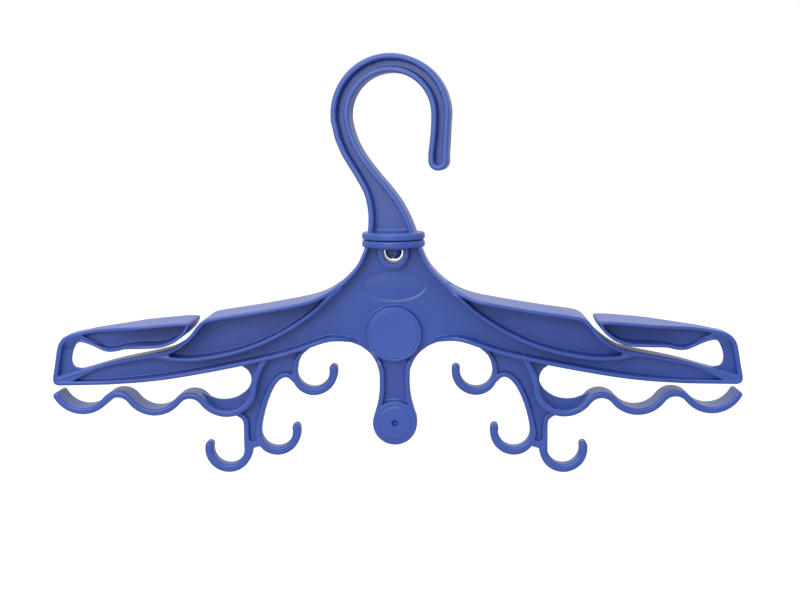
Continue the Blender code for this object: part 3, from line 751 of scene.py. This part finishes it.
def paper(name):
    """The pale floor, which shows nothing from below."""
    material = bpy.data.materials.new(name)
    material.use_nodes = True
    tree = material.node_tree
    shader = tree.nodes["Principled BSDF"]
    shader.inputs["Roughness"].default_value = 0.9
    shader.inputs["Specular IOR Level"].default_value = 0.1
    shader.inputs["Emission Color"].default_value = (1, 1, 1, 1)
    seen = tree.nodes.new("ShaderNodeLightPath").outputs["Is Camera Ray"]
    for socket, unseen_value, seen_value in (("Base Color", 0.5, 0.95), ("Emission Strength", 0, 0.14)):
        pick = tree.nodes.new("ShaderNodeMapRange")
        pick.inputs["To Min"].default_value, pick.inputs["To Max"].default_value = unseen_value, seen_value
        tree.links.new(seen, pick.inputs["Value"])
        tree.links.new(pick.outputs["Result"], shader.inputs[socket])
    clear = tree.nodes.new("ShaderNodeBsdfTransparent")
    side = tree.nodes.new("ShaderNodeNewGeometry")
    mix = tree.nodes.new("ShaderNodeMixShader")
    tree.links.new(side.outputs["Backfacing"], mix.inputs[0])
    tree.links.new(shader.outputs[0], mix.inputs[1])
    tree.links.new(clear.outputs[0], mix.inputs[2])
    tree.links.new(mix.outputs[0], tree.nodes["Material Output"].inputs["Surface"])
    return material


# ---- The set, in metres ----

FLOOR_Z, FLOOR_REACH = -0.28, 30
# Each light: place, target, size, and power in watts
KEY = ((-0.68, -1.85, 0.75), (0, 0, 0.2), (1.3, 1.1), 18)
OVERHEAD = ((-0.2, -0.3, 1.85), (0, 0, 0.15), (1.8, 1.2), 18)
EYE = SWIVEL + Vector((37.47, -904.53, 70.89)) * MM
EYE_TURN = [math.radians(angle) for angle in (2.101, 7.224, 0.532)]    # yaw, pitch and roll
LENS = 56.79


def floor(height, reach):
    """A level square of pale paper."""
    data = bpy.data.meshes.new("floor")
    corners = [(x * reach, y * reach, height) for x, y in ((-1, -1), (1, -1), (1, 1), (-1, 1))]
    data.from_pydata(corners, [], [(0, 1, 2, 3)])
    made = bpy.data.objects.new("floor", data)
    bpy.context.scene.collection.objects.link(made)
    data.materials.append(paper("floor_paper"))


def daylight(strength):
    """A white world that is dimmer towards the ground, and plain white to the camera."""
    world = bpy.data.worlds.new("studio")
    bpy.context.scene.world = world
    world.use_nodes = True
    tree = world.node_tree
    tree.nodes.clear()
    out = tree.nodes.new("ShaderNodeOutputWorld")
    light, plain = (tree.nodes.new("ShaderNodeBackground") for _ in range(2))
    light.inputs["Strength"].default_value = strength
    plain.inputs["Color"].default_value = (1, 1, 1, 1)
    ray = tree.nodes.new("ShaderNodeLightPath")
    mix = tree.nodes.new("ShaderNodeMixShader")
    tree.links.new(ray.outputs["Is Camera Ray"], mix.inputs[0])
    tree.links.new(light.outputs[0], mix.inputs[1])
    tree.links.new(plain.outputs[0], mix.inputs[2])
    tree.links.new(mix.outputs[0], out.inputs["Surface"])
    place = tree.nodes.new("ShaderNodeTexCoord")
    split = tree.nodes.new("ShaderNodeSeparateXYZ")
    ramp = tree.nodes.new("ShaderNodeMapRange")
    tree.links.new(place.outputs["Generated"], split.inputs[0])
    tree.links.new(split.outputs["Z"], ramp.inputs["Value"])
    for name, value in (("From Min", -0.6), ("From Max", 0.5), ("To Min", 0.5), ("To Max", 0.95)):
        ramp.inputs[name].default_value = value
    tree.links.new(ramp.outputs["Result"], light.inputs["Color"])


def softbox(name, place, target, size, power):
    """A rectangular light, turned to face its target."""
    lamp = bpy.data.lights.new(name, "AREA")
    lamp.shape = "RECTANGLE"
    lamp.size, lamp.size_y = size
    lamp.energy = power
    made = bpy.data.objects.new(name, lamp)
    bpy.context.scene.collection.objects.link(made)
    made.location = place
    made.rotation_euler = (Vector(target) - Vector(place)).to_track_quat("-Z", "Y").to_euler()


def camera(place, yaw, pitch, roll, lens):
    """A camera that looks along +Y, turned by yaw to its left, by pitch down and by roll clockwise."""
    data = bpy.data.cameras.new("camera")
    data.lens = lens
    made = bpy.data.objects.new("camera", data)
    bpy.context.scene.collection.objects.link(made)
    look = Vector((-math.sin(yaw) * math.cos(pitch), math.cos(yaw) * math.cos(pitch), -math.sin(pitch)))
    level_right = Vector((math.cos(yaw), math.sin(yaw), 0))
    level_down = look.cross(level_right)
    right = math.cos(roll) * level_right + math.sin(roll) * level_down
    up = math.sin(roll) * level_right - math.cos(roll) * level_down
    turn = Matrix((right, up, -look)).transposed()
    made.matrix_world = Matrix.Translation(place) @ turn.to_4x4()
    bpy.context.scene.camera = made


def put(piece, material, slot, *nodes):
    """Raises a piece to its place, smooths it, and lets it stand for its CAD nodes."""
    piece.data.transform(Matrix.Translation(SWIVEL))
    piece.data.materials.clear()
    piece.data.materials.append(material)
    piece.data.shade_smooth()
    piece.data.set_sharp_from_angle(angle=CREASE)
    weighted = piece.modifiers.new("weighted", "WEIGHTED_NORMAL")
    weighted.keep_sharp = True
    weighted.weight = 60
    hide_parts(*nodes)


frame_plastic = plastic("frame_blue", BLUE, FRAME_ROUGH)
hook_plastic = plastic("hook_blue", HOOK_BLUE, HOOK_ROUGH)

moulding = hanger_moulding()
put(moulding, frame_plastic, "frame_plastic", "hanger_frame")
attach(moulding, "frame")
for side, word in ((1, "right"), (-1, "left")):
    jaw = end_jaw(f"end_jaw_{word}", side)
    put(jaw, frame_plastic, "frame_plastic", f"clip_jaw_{word}")
    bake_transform(jaw)
hook = hook_moulding()
put(hook, hook_plastic, "hook_plastic", "swivel_hook")
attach(hook, "hook")

floor(FLOOR_Z, FLOOR_REACH)
daylight(1.0)
softbox("key", *KEY)
softbox("overhead", *OVERHEAD)
camera(EYE, *EYE_TURN, LENS)
bpy.context.scene.view_settings.view_transform = "Standard"
